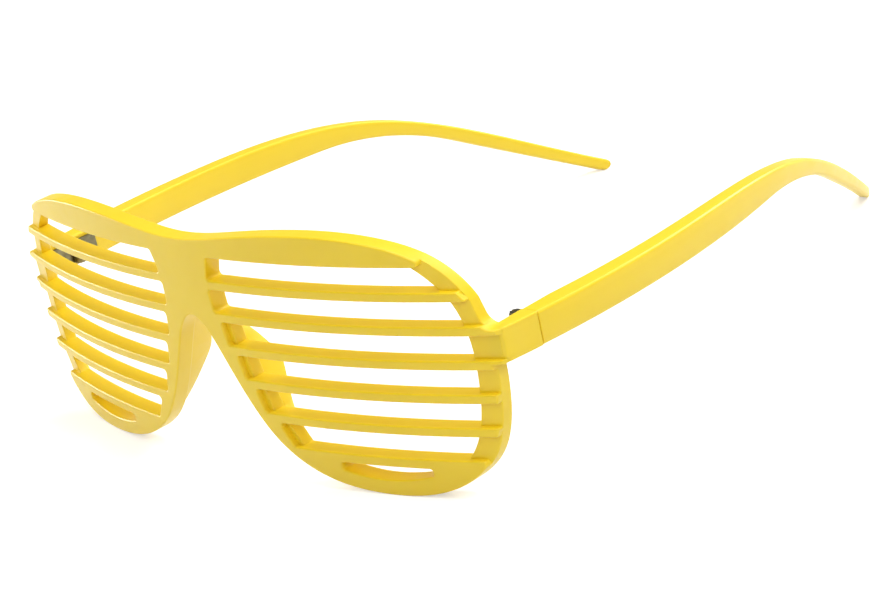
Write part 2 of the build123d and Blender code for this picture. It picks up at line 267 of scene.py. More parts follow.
def turned_metal(name, axis_x, axis_y):
    # Dark olive base colours of the screws: the olive is a painted reflection of the yellow
    # plastic.
    tints_with_painted_reflection = ((0.12, 0.11, 0.07, 1), (0.25, 0.23, 0.16, 1))
    material, tree, shader, tarnish = plated_metal(name, tarnish_scale=700, tints_with_painted_reflection=tints_with_painted_reflection)
    coordinates = add_node(tree, "ShaderNodeTexCoord").outputs["Object"]
    parts = add_node(tree, "ShaderNodeSeparateXYZ", {0: coordinates})
    off_x = Number(parts.outputs["X"]).math("ABSOLUTE") - axis_x
    off_y = Number(parts.outputs["Y"]) - axis_y
    radius = (off_x * off_x + off_y * off_y).math("SQRT")
    rings = (radius * (2 * math.pi / RING_GAP)).math("SINE") * 0.5 + 0.5
    feed(shader, {"Roughness": spread(tree, tarnish, low=0.25, high=0.42)})
    bumps(tree, shader, [(rings, 0.006 * mm)])
    return material


hinge_x, hinge_y, _ = behaviour["joints"][0]["pos_m"]
leaf_metal = stamped_metal("dull_nickel_stamped")
screw_metal = turned_metal("nickel_turned", abs(hinge_x), hinge_y)
print("metals:", leaf_metal.name, screw_metal.name)

# %% [markdown]
# ## Sizes of the front
#
# The front of the real glasses is one plate, bent to a round of 200 mm as seen from above. Its
# shape is drawn flat, as X and height, and every depth is measured back from the bent front
# surface. These are the sizes that the solids were built with, in millimetres, so what is drawn
# with them lands on the solids. Only the softness of the edges is new.

# %% Sizes of the front
# The plate. The points of its outline are shares of the half width and of the height.
HALF_WIDTH = 68.7
FRONT_HEIGHT = 52.2
WRAP_RADIUS = 200.0
FRONT_DEPTH = 4.0
RECESS_DEPTH = 1.3
OUTLINE_SHARES = [
    (0.0, 0.952), (0.233, 0.979), (0.495, 1.0), (0.713, 0.973), (0.873, 0.891), (0.962, 0.755),
    (0.997, 0.575), (0.994, 0.383), (0.978, 0.268), (0.936, 0.148), (0.815, 0.034), (0.597, 0.0),
    (0.400, 0.046), (0.250, 0.165), (0.163, 0.322), (0.086, 0.521), (0.050, 0.600), (0.0, 0.642),
]

# The windows, the slots and the slats between them.
OPENING_SHARES = [
    (0.760, 0.920), (0.847, 0.843), (0.902, 0.759), (0.929, 0.670), (0.940, 0.556),
    (0.936, 0.431), (0.920, 0.297), (0.886, 0.188), (0.837, 0.115),
]
SLOT_COUNT = 6
SLOT_HEIGHT = 4.85
SLAT_HEIGHT = 1.87
FIRST_SLOT_TOP = 46.35
SLOT_NOSE_SHARES = [
    (0.125, 0.104), (0.103, 0.106), (0.123, 0.133), (0.156, 0.171), (0.200, 0.220), (0.262, 0.303),
]
LEDGE_WIDTH = 1.2
FIRST_LEDGE_SLOT = 3
STUB_LENGTH = 1.8
SLAT_JOIN = 0.05
RIM_JOIN = 0.4

# The short slot in each bottom plate.
SHORT_SLOT_SHARES = (0.463, 0.761)
SHORT_SLOT_TOP = 5.9
SHORT_SLOT_END_HEIGHT = 1.5
SHORT_SLOT_SAG = 1.3

# The endpieces, and the temples whose bow they carry on.
ENDPIECE_BOTTOM = 27.2
ENDPIECE_TOP = 34.0
ENDPIECE_OUTER_X = 70.75
ENDPIECE_LEAN = 0.163
ENDPIECE_SLATS = (2, 3)
ISLAND_X = 66.0
VALLEY_TOP = (66.09, 39.4)
VALLEY_FOOT = (67.6, 34.0)
VALLEY_ROUND = 3.2
HIDDEN_EDGE = [(70.03, 33.6), (70.03, 27.7), (68.4, 27.25)]
TEMPLE_SPREAD = 73.7
TEMPLE_BOW_RADIUS = 211.0
TEMPLE_BOW_DISTANCE = 48.0
HINGE_SEAT_X = 68.0
SEAM_DISTANCE = 22.54

# Rounds of corners, and of the edges between the faces and the walls.
SLOT_CORNER_ROUND = 0.7
SHORT_SLOT_TOP_ROUND = 0.7
SHORT_SLOT_FLOOR_ROUND = 0.5
OUTER_CORNER_ROUND = 0.8
ISLAND_CORNER_ROUND = 0.3
ENDPIECE_CORNER_ROUND = 0.9
ENDPIECE_EDGE_ROUND = 0.4
SEAM_ROUND = 0.15
FRONT_EDGE_ROUND = 0.36
BACK_EDGE_ROUND = 0.5
RIM_EDGE_ROUND = 0.22
RIM_FADE_LENGTH = 0.3
SLOT_BACK_ROUND = 0.36

# Spacing of points, and distances below which points are merged.
OUTLINE_SPACING = 0.9
OPENING_SPACING = 1.0
EDGE_SPACING = 2.2
POINT_GAP = 0.1
MERGE_DISTANCE = 0.002 * mm
SOLID_MERGE_DISTANCE = 0.01 * mm

BRIDGE_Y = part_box("front_frame")[0][1] / mm


def wrap(x):
    """Distance of the front surface behind the bridge."""
    return WRAP_RADIUS - math.sqrt(WRAP_RADIUS**2 - x * x)


def bow(y):
    """Place X of the outer face of a temple or an endpiece."""
    reach = TEMPLE_BOW_RADIUS**2 - (y - TEMPLE_BOW_DISTANCE) ** 2
    return TEMPLE_SPREAD - TEMPLE_BOW_RADIUS + math.sqrt(reach)


def slot_top(number):
    return FIRST_SLOT_TOP - (number - 1) * (SLOT_HEIGHT + SLAT_HEIGHT)


def slot_bottom(number):
    return slot_top(number) - SLOT_HEIGHT


print("slot tops:", [round(slot_top(number), 2) for number in range(1, SLOT_COUNT + 1)])

# %% [markdown]
# ## Lines of the drawing
#
# The outline is one smooth line through eighteen points for each half. A cubic line with given
# directions at both ends passes through them without a kink, as the real mould does. The
# corners of the slots are plain arcs.

# %% Smooth lines
def smooth_line(points, start, end, spacing):
    """Evenly spaced points on the smooth line through some points."""
    knots = np.array(points, float)
    steps = np.linalg.norm(np.diff(knots, axis=0), axis=1)
    count = len(knots)
    matrix = np.eye(count)
    right = np.zeros((count, 2))
    right[0], right[-1] = start, end
    for i in range(1, count - 1):
        before, after = steps[i - 1], steps[i]
        matrix[i, i - 1 : i + 2] = after, 2 * (before + after), before
        rise = after / before * (knots[i] - knots[i - 1])
        right[i] = 3 * (rise + before / after * (knots[i + 1] - knots[i]))
    slopes = np.linalg.solve(matrix, right)
    line = []
    for i, step in enumerate(steps):
        parts = max(2, int(round(step / spacing)))
        for part in range(parts):
            u = part / parts
            blend = (2 * u**3 - 3 * u**2 + 1, u**3 - 2 * u**2 + u, 3 * u**2 - 2 * u**3, u**3 - u**2)
            ends = (knots[i], step * slopes[i], knots[i + 1], step * slopes[i + 1])
            line.append(sum(share * end for share, end in zip(blend, ends)))
    line.append(knots[-1])
    return [(float(x), float(z)) for x, z in line]


def end_direction(first, second, third):
    """The direction in which a parabola through three points leaves the first."""
    first, second, third = (np.array(point, float) for point in (first, second, third))
    near = np.linalg.norm(second - first)
    far = near + np.linalg.norm(third - second)
    return ((second - first) * far / near - (third - first) * near / far) / (far - near)


# %% Corners and straight parts
ARC_STEPS = 6


def arc_corner(before, corner, after, radius, steps=ARC_STEPS):
    """Points of the round that replaces a corner."""
    corner = np.array(corner, float)
    first = np.array(before, float) - corner
    last = np.array(after, float) - corner
    first /= np.linalg.norm(first)
    last /= np.linalg.norm(last)
    half = math.acos(max(-1, min(1, float(first @ last)))) / 2
    middle = (first + last) / np.linalg.norm(first + last)
    centre = corner + middle * radius / math.sin(half)
    start = corner + first * radius / math.tan(half) - centre
    stop = corner + last * radius / math.tan(half) - centre
    turn = math.atan2(start[0] * stop[1] - start[1] * stop[0], float(start @ stop))
    across = np.array((-start[1], start[0]))
    points = []
    for angle in np.linspace(0, turn, steps + 1):
        x, z = centre + start * math.cos(angle) + across * math.sin(angle)
        points.append((float(x), float(z)))
    return points


def straight(start, end, spacing):
    """Points from one place to another, without the last."""
    parts = max(1, int(math.dist(start, end) / spacing))
    (ax, az), (bx, bz) = start, end
    return [(ax + (bx - ax) * i / parts, az + (bz - az) * i / parts) for i in range(parts)]


def scaled(shares):
    return [(x * HALF_WIDTH, z * FRONT_HEIGHT) for x, z in shares]


def with_heights(line, heights):
    """The line with extra points where its outer part crosses some heights."""
    result = [line[0]]
    for (ax, az), (bx, bz) in zip(line, line[1:]):
        crossed = [h for h in heights if min(az, bz) < h < max(az, bz) and ax > HALF_WIDTH / 2]
        for height in sorted(crossed, reverse=az > bz):
            share = (height - az) / (bz - az)
            result.append((ax + (bx - ax) * share, height))
        result.append((bx, bz))
    return result


# %% Outline and opening
row_heights = []
for number in range(1, SLOT_COUNT + 1):
    top, bottom = slot_top(number), slot_bottom(number)
    row_heights += [top, bottom, top - RIM_FADE_LENGTH, bottom + RIM_FADE_LENGTH]
outline = smooth_line(scaled(OUTLINE_SHARES), (1, 0), (-1, 0), OUTLINE_SPACING)
outline = with_heights(outline, row_heights)
opening_points = scaled(OPENING_SHARES)
opening_start = end_direction(*opening_points[:3])
opening_end = -end_direction(*opening_points[:-4:-1])
opening = smooth_line(opening_points, opening_start, opening_end, OPENING_SPACING)
opening = with_heights(opening, [slot_top(1), slot_bottom(SLOT_COUNT)])
LIFT = -min(z for x, z in outline)
print("outline points:", len(outline), "lift:", round(LIFT, 3))

# %% [markdown]
# ## Walls with round edges
#
# A moulded plate has no sharp edges. Every wall of the drawing becomes a strip of rings. The
# first ring lies on the front face, a little inside the wall. The next ones turn a quarter circle
# into the wall, which runs straight back and turns another into the back face. Triangles between
# those rings fill the flat faces. A Bevel modifier would stumble where many small edges meet,
# and here every round is known beforehand.

# %% Places and directions
ROUND_STEPS = 4
LEAN_WIDTH = 2
SHORTEST_STEP = 1e-9


def place(x, z, depth):
    """A point of the bent plate, in metres. The endpiece leans outwards and has a round corner."""
    reach = abs(x)
    lean = ENDPIECE_LEAN * max(0, min(1, (reach - HALF_WIDTH) / LEAN_WIDTH)) * depth
    over = reach - ENDPIECE_OUTER_X + ENDPIECE_CORNER_ROUND
    if over > 0 and depth < RECESS_DEPTH:
        drop = ENDPIECE_CORNER_ROUND - math.sqrt(max(0, ENDPIECE_CORNER_ROUND**2 - over * over))
        depth += drop * (1 - depth / RECESS_DEPTH)
    y = BRIDGE_Y + wrap(reach) + depth
    return Vector((math.copysign(reach + lean, x) * mm, y * mm, (z + LIFT) * mm))


def inward_normals(chain, closed):
    """For each point, the direction into the material, which lies on the left of the chain."""
    points = np.array(chain)[:, :2]
    nexts = np.roll(points, -1, axis=0) - points
    nexts /= np.maximum(np.linalg.norm(nexts, axis=1), SHORTEST_STEP)[:, None]
    lasts = np.roll(nexts, 1, axis=0)
    if not closed:
        nexts[-1] = lasts[-1]
        lasts[0] = nexts[0]
    left_next = np.stack([-nexts[:, 1], nexts[:, 0]], axis=1)
    left_last = np.stack([-lasts[:, 1], lasts[:, 0]], axis=1)
    total = left_next + left_last
    return total / (1 + np.sum(left_next * left_last, axis=1))[:, None]


# %% Rings and walls
def quarter_round():
    """For each ring of a quarter circle, how far it lies inside the wall and behind the face."""
    angles = [math.pi / 2 * step / ROUND_STEPS for step in range(ROUND_STEPS + 1)]
    return [(1 - math.sin(angle), 1 - math.cos(angle)) for angle in angles]


def join_rings(work, rings, closed):
    """Four-sided faces between each ring and the next."""
    count = len(rings[0])
    for upper, lower in zip(rings, rings[1:]):
        for i in range(count if closed else count - 1):
            j = (i + 1) % count
            work.faces.new((upper[i], lower[i], lower[j], upper[j]))


def add_wall(work, chain, closed, start=0, end=RECESS_DEPTH):
    """Rings along a chain of (x, z, front round, back round). Returns its front and back lines."""
    chain = np.array(chain)
    normals = inward_normals(chain, closed)
    profile = [(chain[:, 2], start, inset, lift) for inset, lift in quarter_round()]
    profile += [(chain[:, 3], end, inset, -lift) for inset, lift in reversed(quarter_round())]
    rings = []
    lines = []
    for radii, face, inset, lift in profile:
        line = (chain[:, :2] + normals * inset * radii[:, None]).tolist()
        depths = face + lift * radii
        rings.append([work.verts.new(place(x, z, depth)) for (x, z), depth in zip(line, depths)])
        lines.append(line)
    join_rings(work, rings, closed)
    return lines[0], lines[-1]


# %% Flat faces
# These points join the triangles of a flat face, so that they follow the bend of the plate.
GRID = np.array([(x, z) for x in np.arange(-72, 72.1, 2.4) for z in np.arange(1.3, 52, 4.1)])
DRAWING_TOLERANCE = 1e-5


def inside(points, loops):
    """Whether points lie inside an odd number of closed loops."""
    crossings = np.zeros(len(points), int)
    for loop in loops:
        first = np.array(loop)
        second = np.roll(first, -1, axis=0)
        for (ax, az), (bx, bz) in zip(first, second):
            if az == bz:
                continue
            spans = (points[:, 1] >= min(az, bz)) & (points[:, 1] < max(az, bz))
            reach = ax + (points[:, 1] - az) * (bx - ax) / (bz - az)
            crossings += spans & (points[:, 0] < reach)
    return crossings % 2 == 1


def fill_flat(work, loops, depth, without=(), facing=-1):
    """Triangles between closed loops at one depth, leaving out what lies inside other loops.

    The face looks to the front where facing is -1 and to the back where it is 1.
    """
    points = []
    edges = []
    for loop in (*loops, *without):
        first = len(points)
        points += [Vector(point) for point in loop]
        edges += [(first + i, first + (i + 1) % len(loop)) for i in range(len(loop))]
    points += [Vector(point) for point in GRID[inside(GRID, loops)]]
    drawing = delaunay_2d_cdt(points, edges, [], 0, DRAWING_TOLERANCE)
    flat = np.array([tuple(point) for point in drawing[0]])
    triangles = np.array([tuple(triangle) for triangle in drawing[2]])
    centres = flat[triangles].mean(axis=1)
    wanted = inside(centres, loops) & ~inside(centres, without)
    corners = [work.verts.new(place(x, z, depth)) for x, z in flat]
    for triangle in triangles[wanted]:
        work.faces.new([corners[i] for i in triangle[::-facing]])


def flipped(chain):
    """A chain's mirror image, run the other way so that the material stays on its left."""
    return [(-point[0], *point[1:]) for point in reversed(chain)]

# %% [markdown]
# ## Front layer
#
# In the front 1.3 mm the slots run right out through the outer wall, so the slats end there
# like the teeth of a comb. This layer has the brow, the bridge, the bottom plates and a short
# stub of every slat, from which the slats go on later. Open chains, from one stub to the next,
# run once round it, and the slats cover their ends.

# %% Nose ends of the slots
def nose_x(number, side):
    return SLOT_NOSE_SHARES[number - 1][side] * HALF_WIDTH


def stub_end(number):
    """Where the stub of the slat under a slot ends."""
    return max(nose_x(number, 1), nose_x(number + 1, 0)) + LEDGE_WIDTH + STUB_LENGTH


def nose_end(number, ledge=0):
    """The nose end of a slot from bottom to top, with round corners unless it has a ledge."""
    top = (nose_x(number, 0) + ledge, slot_top(number))
    bottom = (nose_x(number, 1) + ledge, slot_bottom(number))
    if ledge:
        return [bottom, top]
    lower = arc_corner((bottom[0] + 1, bottom[1]), bottom, top, SLOT_CORNER_ROUND)
    return lower + arc_corner(bottom, top, (top[0] + 1, top[1]), SLOT_CORNER_ROUND)


def with_rounds(points, front_round=FRONT_EDGE_ROUND, back_round=0):
    """A chain of the points, each with the rounds of its front and back edges."""
    return [(x, z, front_round, back_round) for x, z in points]


def nose_chain(number):
    """A chain round the nose end of a slot, from the stub under it to the stub above it."""
    lower_stub = (stub_end(number), slot_bottom(number))
    upper_stub = (stub_end(number - 1), slot_top(number))
    points = [lower_stub] + nose_end(number) + [upper_stub]
    return with_rounds(points)


# %% Short slot
SAG_POINTS = 16
SAG_MARGIN = 1


def short_slot(front_round, back_round):
    """The low slot through the bottom plate, whose lower edge sags, run clockwise."""
    inner, outer = (share * HALF_WIDTH for share in SHORT_SLOT_SHARES)
    top, floor = SHORT_SLOT_TOP, SHORT_SLOT_TOP - SHORT_SLOT_END_HEIGHT
    middle, half = (outer + inner) / 2, (outer - inner) / 2
    sag = []
    for x in np.linspace(outer - SAG_MARGIN, inner + SAG_MARGIN, SAG_POINTS):
        sag.append((float(x), floor - SHORT_SLOT_SAG * (1 - ((x - middle) / half) ** 2)))
    points = arc_corner((outer, top), (inner, top), (inner, floor), SHORT_SLOT_TOP_ROUND)[::-1]
    points += straight(points[-1], (outer - SAG_MARGIN, top), EDGE_SPACING)[1:]
    points += arc_corner((inner, top), (outer, top), (outer, floor), SHORT_SLOT_TOP_ROUND)
    points += arc_corner((outer, top), (outer, floor), sag[0], SHORT_SLOT_FLOOR_ROUND)
    points += sag[1:-1]
    points += arc_corner(sag[-1], (inner, floor), (inner, top), SHORT_SLOT_FLOOR_ROUND)
    return with_rounds(points, front_round, back_round)


# %% Brow, bottom plates and comb
CORNER_BASE = 3  # how many points of the outline give its direction at a corner
PLATE_REACH = 40  # nearer to the nose than this, every point of the plate's outline is kept

top_row = next(i for i, (x, z) in enumerate(outline) if z == slot_top(1))
low_row = next(i for i, (x, z) in enumerate(outline) if z == slot_bottom(SLOT_COUNT))
brow_line = outline[: top_row + 1]
plate_line = outline[low_row:]

brow_half = [(stub_end(1), slot_bottom(1))] + nose_end(1)
brow_tip, brow_base = brow_line[-1], brow_line[-1 - CORNER_BASE]
corner = arc_corner(brow_half[-1], brow_tip, brow_base, OUTER_CORNER_ROUND)
brow_half += straight(brow_half[-1], corner[0], EDGE_SPACING)[1:] + corner
brow_half += [(x, z) for x, z in reversed(brow_line) if z > corner[-1][1] + POINT_GAP]
brow_chain = with_rounds(brow_half)
brow_chain = brow_chain + flipped(brow_chain)[1:]

last_nose = nose_end(SLOT_COUNT)
corner = arc_corner(plate_line[CORNER_BASE], plate_line[0], last_nose[0], OUTER_CORNER_ROUND)
plate_half = [(x, z) for x, z in plate_line if z < corner[0][1] - POINT_GAP or x < PLATE_REACH]
plate_half = plate_half[::-1] + corner
plate_half += straight(corner[-1], last_nose[0], EDGE_SPACING)[1:] + last_nose
plate_half += [(stub_end(SLOT_COUNT - 1), slot_top(SLOT_COUNT))]
plate_chain = with_rounds(plate_half)
plate_chain = flipped(plate_chain)[:-1] + plate_chain

comb = [nose_chain(number) for number in range(SLOT_COUNT - 1, 1, -1)]
mirrored_comb = [flipped(chain) for chain in reversed(comb)]
front_chains = [plate_chain] + comb + [brow_chain] + mirrored_comb
print("front layer:", len(front_chains), "chains")

# %% Front layer
short_slots = [short_slot(FRONT_EDGE_ROUND, 0)]
short_slots.append(flipped(short_slots[0]))

front_work = bmesh.new()
face_line = []
footprint = []
for chain in front_chains:
    line, _ = add_wall(front_work, chain, False)
    face_line += line
    footprint += [point[:2] for point in chain]
slot_lines = [add_wall(front_work, slot, True)[0] for slot in short_slots]
fill_flat(front_work, [face_line] + slot_lines, 0)
print("front layer:", len(front_work.faces), "faces")

# %% [markdown]
# ## Rear layer
#
# Behind the front layer the plate is 2.7 mm thick and has one large window for each eye. Its
# rim shows between the slat ends, set back by 1.3 mm, and so do the small ledges at the nose
# ends of the lower slots. The outline also sweeps down to the endpiece in a hollow valley here.

# %% Rim and valley
VALLEY_STEPS = 12
VALLEY_SPACING = 0.8


def rim_round(z):
    """The round of the rim's front edge, which fades out where a slat lies on the rim."""
    for number in range(1, SLOT_COUNT + 1):
        spare = min(slot_top(number) - z, z - slot_bottom(number))
        if spare > 0:
            return RIM_EDGE_ROUND * min(1, spare / RIM_FADE_LENGTH)
    return 0


beyond_foot = (VALLEY_FOOT[0] + 1, VALLEY_FOOT[1])
valley_arc = arc_corner(VALLEY_TOP, VALLEY_FOOT, beyond_foot, VALLEY_ROUND, VALLEY_STEPS)
valley = straight(VALLEY_TOP, valley_arc[0], VALLEY_SPACING) + valley_arc
valley = with_heights(valley, row_heights)
print("valley:", len(valley), "points")

# %% Outline of the rear layer
OUTER_SIDE_X = 60
COVERED_X = 69.9  # from here on the arm of the endpiece covers the back edge

rear_half = []
above = [(x, z) for x, z in outline[:low_row] if z > VALLEY_TOP[1] + 2 * POINT_GAP]
for x, z in above + valley:
    front_round = rim_round(z) if z < slot_top(1) and x > OUTER_SIDE_X else 0
    rear_half.append((x, z, front_round, BACK_EDGE_ROUND if x < COVERED_X else 0))
rear_half += with_rounds(HIDDEN_EDGE, 0, 0)
under_endpiece = ENDPIECE_BOTTOM - POINT_GAP
below_row = next(i for i, (x, z) in enumerate(outline) if z < under_endpiece and x > OUTER_SIDE_X)
for x, z in outline[below_row:]:
    on_rim = x > PLATE_REACH and z > slot_bottom(SLOT_COUNT)
    rear_half.append((x, z, rim_round(z) if on_rim else 0, BACK_EDGE_ROUND))
rear_outline = rear_half[::-1] + flipped(rear_half[::-1])[1:-1]
print("rear outline:", len(rear_outline), "points")

# %% Windows of the rear layer
high, low = slot_top(1), slot_bottom(SLOT_COUNT)
ledges = [LEDGE_WIDTH if number >= FIRST_LEDGE_SLOT else 0 for number in range(1, SLOT_COUNT + 1)]
side_line = [(x, z) for x, z in opening if low <= z <= high]
first_nose, last_nose = nose_end(1), nose_end(SLOT_COUNT, ledges[-1])
top_edge = straight(first_nose[-1], side_line[0], EDGE_SPACING)[1:]
low_edge = straight(side_line[-1], last_nose[0], EDGE_SPACING)[1:]

window = with_rounds(first_nose + top_edge, 0, BACK_EDGE_ROUND)
window += with_rounds(side_line, RIM_EDGE_ROUND, BACK_EDGE_ROUND)
window += with_rounds(low_edge, 0, BACK_EDGE_ROUND)
window += with_rounds(last_nose, RIM_EDGE_ROUND, BACK_EDGE_ROUND)
for number in range(SLOT_COUNT - 1, 0, -1):
    stub = [(stub_end(number), slot_top(number + 1)), (stub_end(number), slot_bottom(number))]
    window += with_rounds(stub, 0, SLOT_BACK_ROUND)
    if number > 1:
        ledge = ledges[number - 1]
        front_round = RIM_EDGE_ROUND if ledge else 0
        window += with_rounds(nose_end(number, ledge), front_round, SLOT_BACK_ROUND)
print("window:", len(window), "points")

# %% Rear layer
rear_loops = [rear_outline]
for hole in (window, short_slot(0, SLOT_BACK_ROUND)):
    rear_loops += [hole, flipped(hole)]
walls = [add_wall(front_work, loop, True, RECESS_DEPTH, FRONT_DEPTH) for loop in rear_loops]
covered = [footprint] + [[point[:2] for point in slot] for slot in short_slots]
fill_flat(front_work, [front_line for front_line, _ in walls], RECESS_DEPTH, covered)
fill_flat(front_work, [back_line for _, back_line in walls], FRONT_DEPTH, facing=1)
print("both layers:", len(front_work.faces), "faces")

# %% [markdown]
# ## Endpieces
#
# An endpiece is a short arm that runs back from the outer edge of the plate and carries the
# hinge on its inner side. Two islands on its front carry on the lines of the second and third
# slat. The arm is a stack of rings in the form of its plan, and the first and last ones are
# drawn in a little, which rounds the long edges.

# %% Islands
def island_chains():
    """The two pieces of front layer on an endpiece, from one end of the join to the other."""
    join, outer = ISLAND_X, ENDPIECE_OUTER_X
    top, bottom = ENDPIECE_TOP, ENDPIECE_BOTTOM

    high, low = slot_bottom(2), slot_top(3)
    upper = [(join, low)] + arc_corner((join, low), (outer, low), (outer, top), ISLAND_CORNER_ROUND)
    upper += arc_corner((outer, low), (outer, top), (join, top), ENDPIECE_EDGE_ROUND)
    upper += [(x, z) for x, z in reversed(valley) if z <= high] + [(join, high)]

    high, low = slot_bottom(3), slot_top(4)
    edge = [(x, z) for x, z in outline if low <= z < under_endpiece and x > OUTER_SIDE_X][::-1]
    foot = (edge[-1][0], bottom)
    lower = [(join, low)] + edge + [foot]
    lower += arc_corner(foot, (outer, bottom), (outer, high), ENDPIECE_EDGE_ROUND)
    lower += arc_corner((outer, bottom), (outer, high), (join, high), ISLAND_CORNER_ROUND)
    lower += [(join, high)]
    return [with_rounds(chain) for chain in (upper, lower)]


for chain in island_chains():
    for side_chain in (chain, flipped(chain)):
        line, _ = add_wall(front_work, side_chain, False)
        fill_flat(front_work, [line], 0)
print("with islands:", len(front_work.faces), "faces")

# %% Arms of the endpieces
ARM_FRONT_X = (69, 70)
ARM_GAP = 0.02  # the arm starts just behind the islands
ARM_CORNER = 0.2
ARM_SIDE_START = 1
ARM_SIDE_POINTS = 9


def arm_plan():
    """The plan of an endpiece's arm: distance back from the bridge for each place X."""
    outer = ENDPIECE_OUTER_X + ENDPIECE_LEAN * RECESS_DEPTH
    plan = []
    for x in (HINGE_SEAT_X, *ARM_FRONT_X, outer - ARM_CORNER):
        plan.append((x, wrap(x) + RECESS_DEPTH + ARM_GAP))
    front = wrap(outer) + RECESS_DEPTH
    plan.append((outer, front + ARM_CORNER))
    for y in np.linspace(front + ARM_SIDE_START, SEAM_DISTANCE - SEAM_ROUND, ARM_SIDE_POINTS):
        plan.append((bow(float(y)), float(y)))
    plan.append((bow(SEAM_DISTANCE) - SEAM_ROUND, SEAM_DISTANCE))
    plan.append((HINGE_SEAT_X + SEAM_ROUND, SEAM_DISTANCE))
    plan.append((HINGE_SEAT_X, SEAM_DISTANCE - SEAM_ROUND))
    return plan


def arm(side):
    """A stack of rings of one plan, drawn in at the top and the bottom."""
    work = bmesh.new()
    plan = arm_plan()
    normals = inward_normals(plan, True)
    shares = [np.array(pair) * ENDPIECE_EDGE_ROUND for pair in quarter_round()]
    levels = [(inset, ENDPIECE_BOTTOM + lift) for inset, lift in shares]
    levels += [(inset, ENDPIECE_TOP - lift) for inset, lift in reversed(shares)]
    rings = []
    for inset, z in levels:
        ring = []
        for (x, y), normal in zip(plan, normals):
            ring_x = side * (x + normal[0] * inset)
            ring.append(work.verts.new((ring_x * mm, (BRIDGE_Y + y) * mm, (z + LIFT) * mm)))
        rings.append(ring)
    join_rings(work, rings, True)
    work.faces.new(rings[0][::-1])
    work.faces.new(rings[-1])
    bmesh.ops.recalc_face_normals(work, faces=work.faces)
    return work


def mesh_of(work, name):
    mesh = bpy.data.meshes.new(name)
    work.to_mesh(mesh)
    work.free()
    return mesh


for side in (1, -1):
    front_work.from_mesh(mesh_of(arm(side), "arm"))
bmesh.ops.remove_doubles(front_work, verts=front_work.verts, dist=MERGE_DISTANCE)
print("whole plate:", len(front_work.faces), "faces")

# %% [markdown]
# ## Nose fins
#
# Two fins behind the nose edge spread the weight on the nose. They are the one part of the
# plate that changes through its depth, so they are taken from the solid: all of its faces that
# lie behind the plate near the nose. Their roots are pushed a little into the plate, so that no
# gap shows along them.

# %% Nose fins
FIN_REACH = 30
FIN_CLEARANCE = 0.03
FIN_SINK = 0.6


def merged_solid(node_name):
    """A copy of a solid to work on, with its doubled points merged."""
    work = bmesh.new()
    work.from_mesh(nodes[node_name].data)
    bmesh.ops.remove_doubles(work, verts=work.verts, dist=SOLID_MERGE_DISTANCE)
    return work


fin_work = merged_solid("front_frame")
drop = []
for face in fin_work.faces:
    x, y, _ = face.calc_center_median() / mm
    if abs(x) > FIN_REACH or y - BRIDGE_Y - wrap(x) < FRONT_DEPTH + FIN_CLEARANCE:
        drop.append(face)
bmesh.ops.delete(fin_work, geom=drop, context="FACES")

roots = [edge for edge in fin_work.edges if edge.is_boundary]
for item in bmesh.ops.extrude_edge_only(fin_work, edges=roots)["geom"]:
    if isinstance(item, bmesh.types.BMVert):
        item.co.y -= FIN_SINK * mm
print("fins:", len(fin_work.faces), "faces,", len(roots), "edges at their roots")

# %% [markdown]
# ## Slats
#
# Five slats cross each window, all made by one rule, so Geometry Nodes make them. A straight bar
# of unit length, with a rounded section, is put on a point for every slat. The point carries
# the slat's own numbers, such as where it starts and where the outline cuts it off. A Set
# Position node then stretches each bar, bends it round the plate, thins it where it lies on the
# rim and rounds its free end.

# %% Slat bars
def slat_bars(tree, source):
    """One straight bar of unit length on every point, made real."""
    size = {"Width": source["Plate depth"], "Height": source["Slat height"]}
    section = add_node(tree, "GeometryNodeCurvePrimitiveQuadrilateral", size).outputs[0]
    rounding = {"Curve": section, "Count": ROUND_STEPS, "Radius": source["Edge round"]}
    profile = add_node(tree, "GeometryNodeFilletCurve", rounding, mode="POLY").outputs[0]
    line = add_node(tree, "GeometryNodeCurvePrimitiveLine", {"End": (1, 0, 0)}).outputs[0]
    stations = {"Curve": line, "Count": source["Stations"]}
    path = add_node(tree, "GeometryNodeResampleCurve", stations).outputs[0]
    sweep = {"Curve": path, "Profile Curve": profile, "Fill Caps": True}
    bar = add_node(tree, "GeometryNodeCurveToMesh", sweep).outputs[0]
    copies = {"Points": source["Geometry"], "Instance": bar}
    bars = add_node(tree, "GeometryNodeInstanceOnPoints", copies).outputs[0]
    return add_node(tree, "GeometryNodeRealizeInstances", {"Geometry": bars}).outputs[0]


# %% Places on the plate
SLAT_NUMBERS = ("start", "end_low", "end_high", "end_round", "rim", "height", "side")


